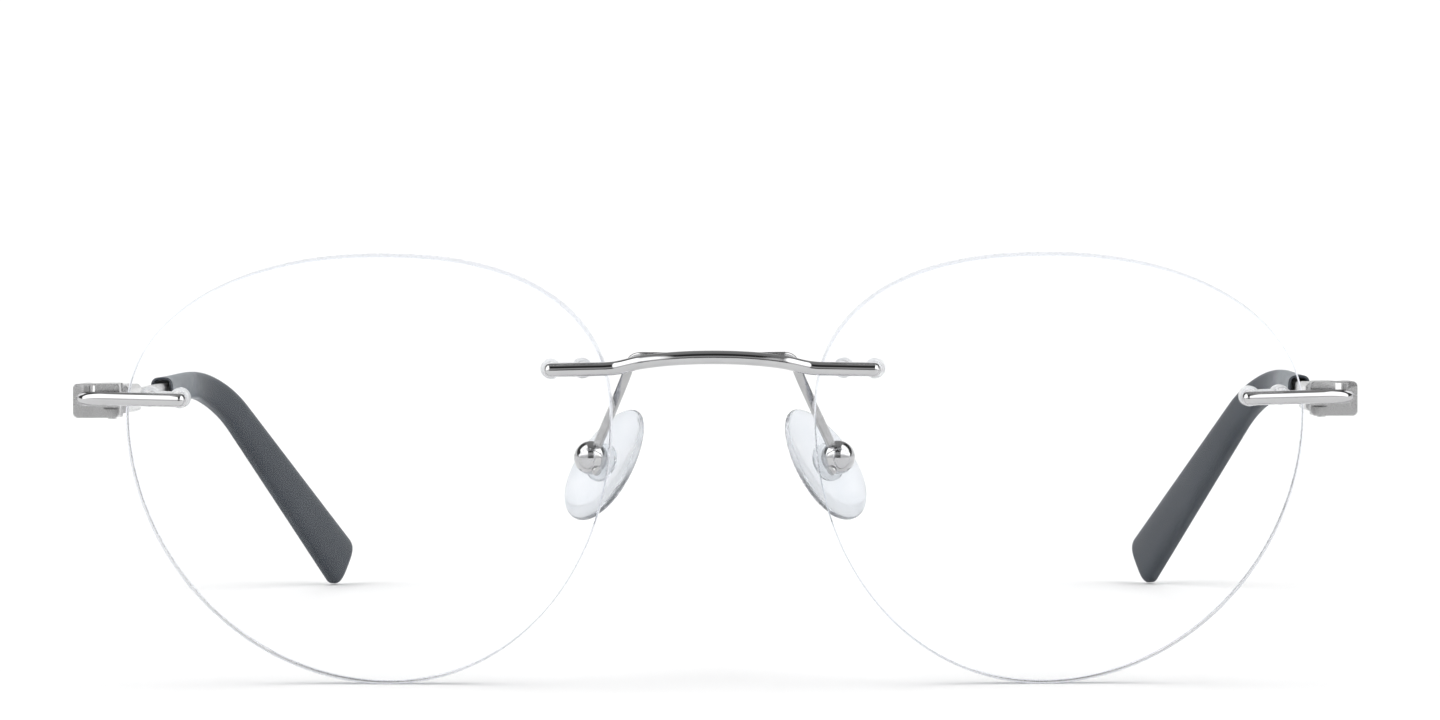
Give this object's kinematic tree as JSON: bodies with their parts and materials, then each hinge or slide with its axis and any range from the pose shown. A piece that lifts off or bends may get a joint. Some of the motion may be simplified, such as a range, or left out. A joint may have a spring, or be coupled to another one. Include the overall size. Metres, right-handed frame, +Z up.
{
  "type": "round rimless wire eyeglasses",
  "caption": "Round rimless eyeglasses: clear drilled lenses on a thin polished wire bridge and endpieces, rocking silicone nose pads, sprung folding temples with dark plastic tips.",
  "frame": {"origin": "under the middle of the whole object, on the surface it stands on with its temples open", "axes": "+X towards the wearer's left, +Y back along the temples, +Z up; the lenses face -Y"},
  "size_m": [0.1318, 0.1367, 0.0444],
  "materials": {
    "lens_clear": "clear, polished, with an anti-reflection coat",
    "plug_clear": "clear moulded plastic",
    "silicone": "clear soft silicone, slightly milky",
    "pad_core_clear": "clear stiff plastic",
    "tip_plastic": "dark grey, satin",
    "steel_polished": "polished silver plate",
    "steel_screw": "bright turned steel",
    "steel_satin": "satin silver plate"
  },
  "bodies": {
    "front": {"lens_left": "lens_clear", "lens_right": "lens_clear", "bridge": "steel_polished", "bridge_studs_left": "steel_satin", "bridge_studs_right": "steel_satin", "bridge_plug_left": "plug_clear", "bridge_plug_right": "plug_clear", "endpiece_left": "steel_polished", "endpiece_right": "steel_polished", "endpiece_studs_left": "steel_satin", "endpiece_studs_right": "steel_satin", "endpiece_plug_left": "plug_clear", "endpiece_plug_right": "plug_clear", "pad_arm_left": "steel_satin", "pad_arm_right": "steel_satin", "pad_box_left": "steel_polished", "pad_box_right": "steel_polished", "pad_screw_left": "steel_screw", "pad_screw_right": "steel_screw", "hinge_block_left": "steel_satin", "hinge_block_right": "steel_satin", "hinge_screw_left": "steel_screw", "hinge_screw_right": "steel_screw"},
    "pad_left": {"pad_core_left": "pad_core_clear", "nose_pad_left": "silicone"},
    "slider_left": {"hinge_slider_left": "steel_satin", "spring_stop_left": "steel_screw"},
    "temple_left": {"spring_box_left": "steel_satin", "hinge_spring_left": "steel_screw", "temple_shaft_left": "steel_satin", "temple_tip_left": "tip_plastic"},
    "pad_right": {"pad_core_right": "pad_core_clear", "nose_pad_right": "silicone"},
    "slider_right": {"hinge_slider_right": "steel_satin", "spring_stop_right": "steel_screw"},
    "temple_right": {"spring_box_right": "steel_satin", "hinge_spring_right": "steel_screw", "temple_shaft_right": "steel_satin", "temple_tip_right": "tip_plastic"}
  },
  "joints": [
    {"name": "temple_fold_left", "type": "hinge", "parent": "front", "child": "slider_left", "pos_m": [0.0626, -0.05498, 0.02897], "axis": [0, 0.0332, 0.9995], "range_deg": [-8, 86]},
    {"name": "temple_spring_left", "type": "slide", "parent": "slider_left", "child": "temple_left", "axis": [0, 0.9995, -0.0332], "range_m": [0, 0.0008], "stiffness_N_per_m": 2500, "springref_m": -0.0008, "deforming": ["hinge_spring_left"]},
    {"name": "nose_pad_rock_left", "type": "hinge", "parent": "front", "child": "pad_left", "pos_m": [0.01308, -0.05884, 0.02263], "axis": [0.5391, 0.7253, 0.4282], "range_deg": [-10, 10]},
    {"name": "temple_fold_right", "type": "hinge", "parent": "front", "child": "slider_right", "pos_m": [-0.0626, -0.05498, 0.02897], "axis": [0, -0.0332, -0.9995], "range_deg": [-8, 75]},
    {"name": "temple_spring_right", "type": "slide", "parent": "slider_right", "child": "temple_right", "axis": [0, 0.9995, -0.0332], "range_m": [0, 0.0008], "stiffness_N_per_m": 2500, "springref_m": -0.0008, "deforming": ["hinge_spring_right"]},
    {"name": "nose_pad_rock_right", "type": "hinge", "parent": "front", "child": "pad_right", "pos_m": [-0.01308, -0.05884, 0.02263], "axis": [0.5391, -0.7253, -0.4282], "range_deg": [-10, 10]}
  ]
}
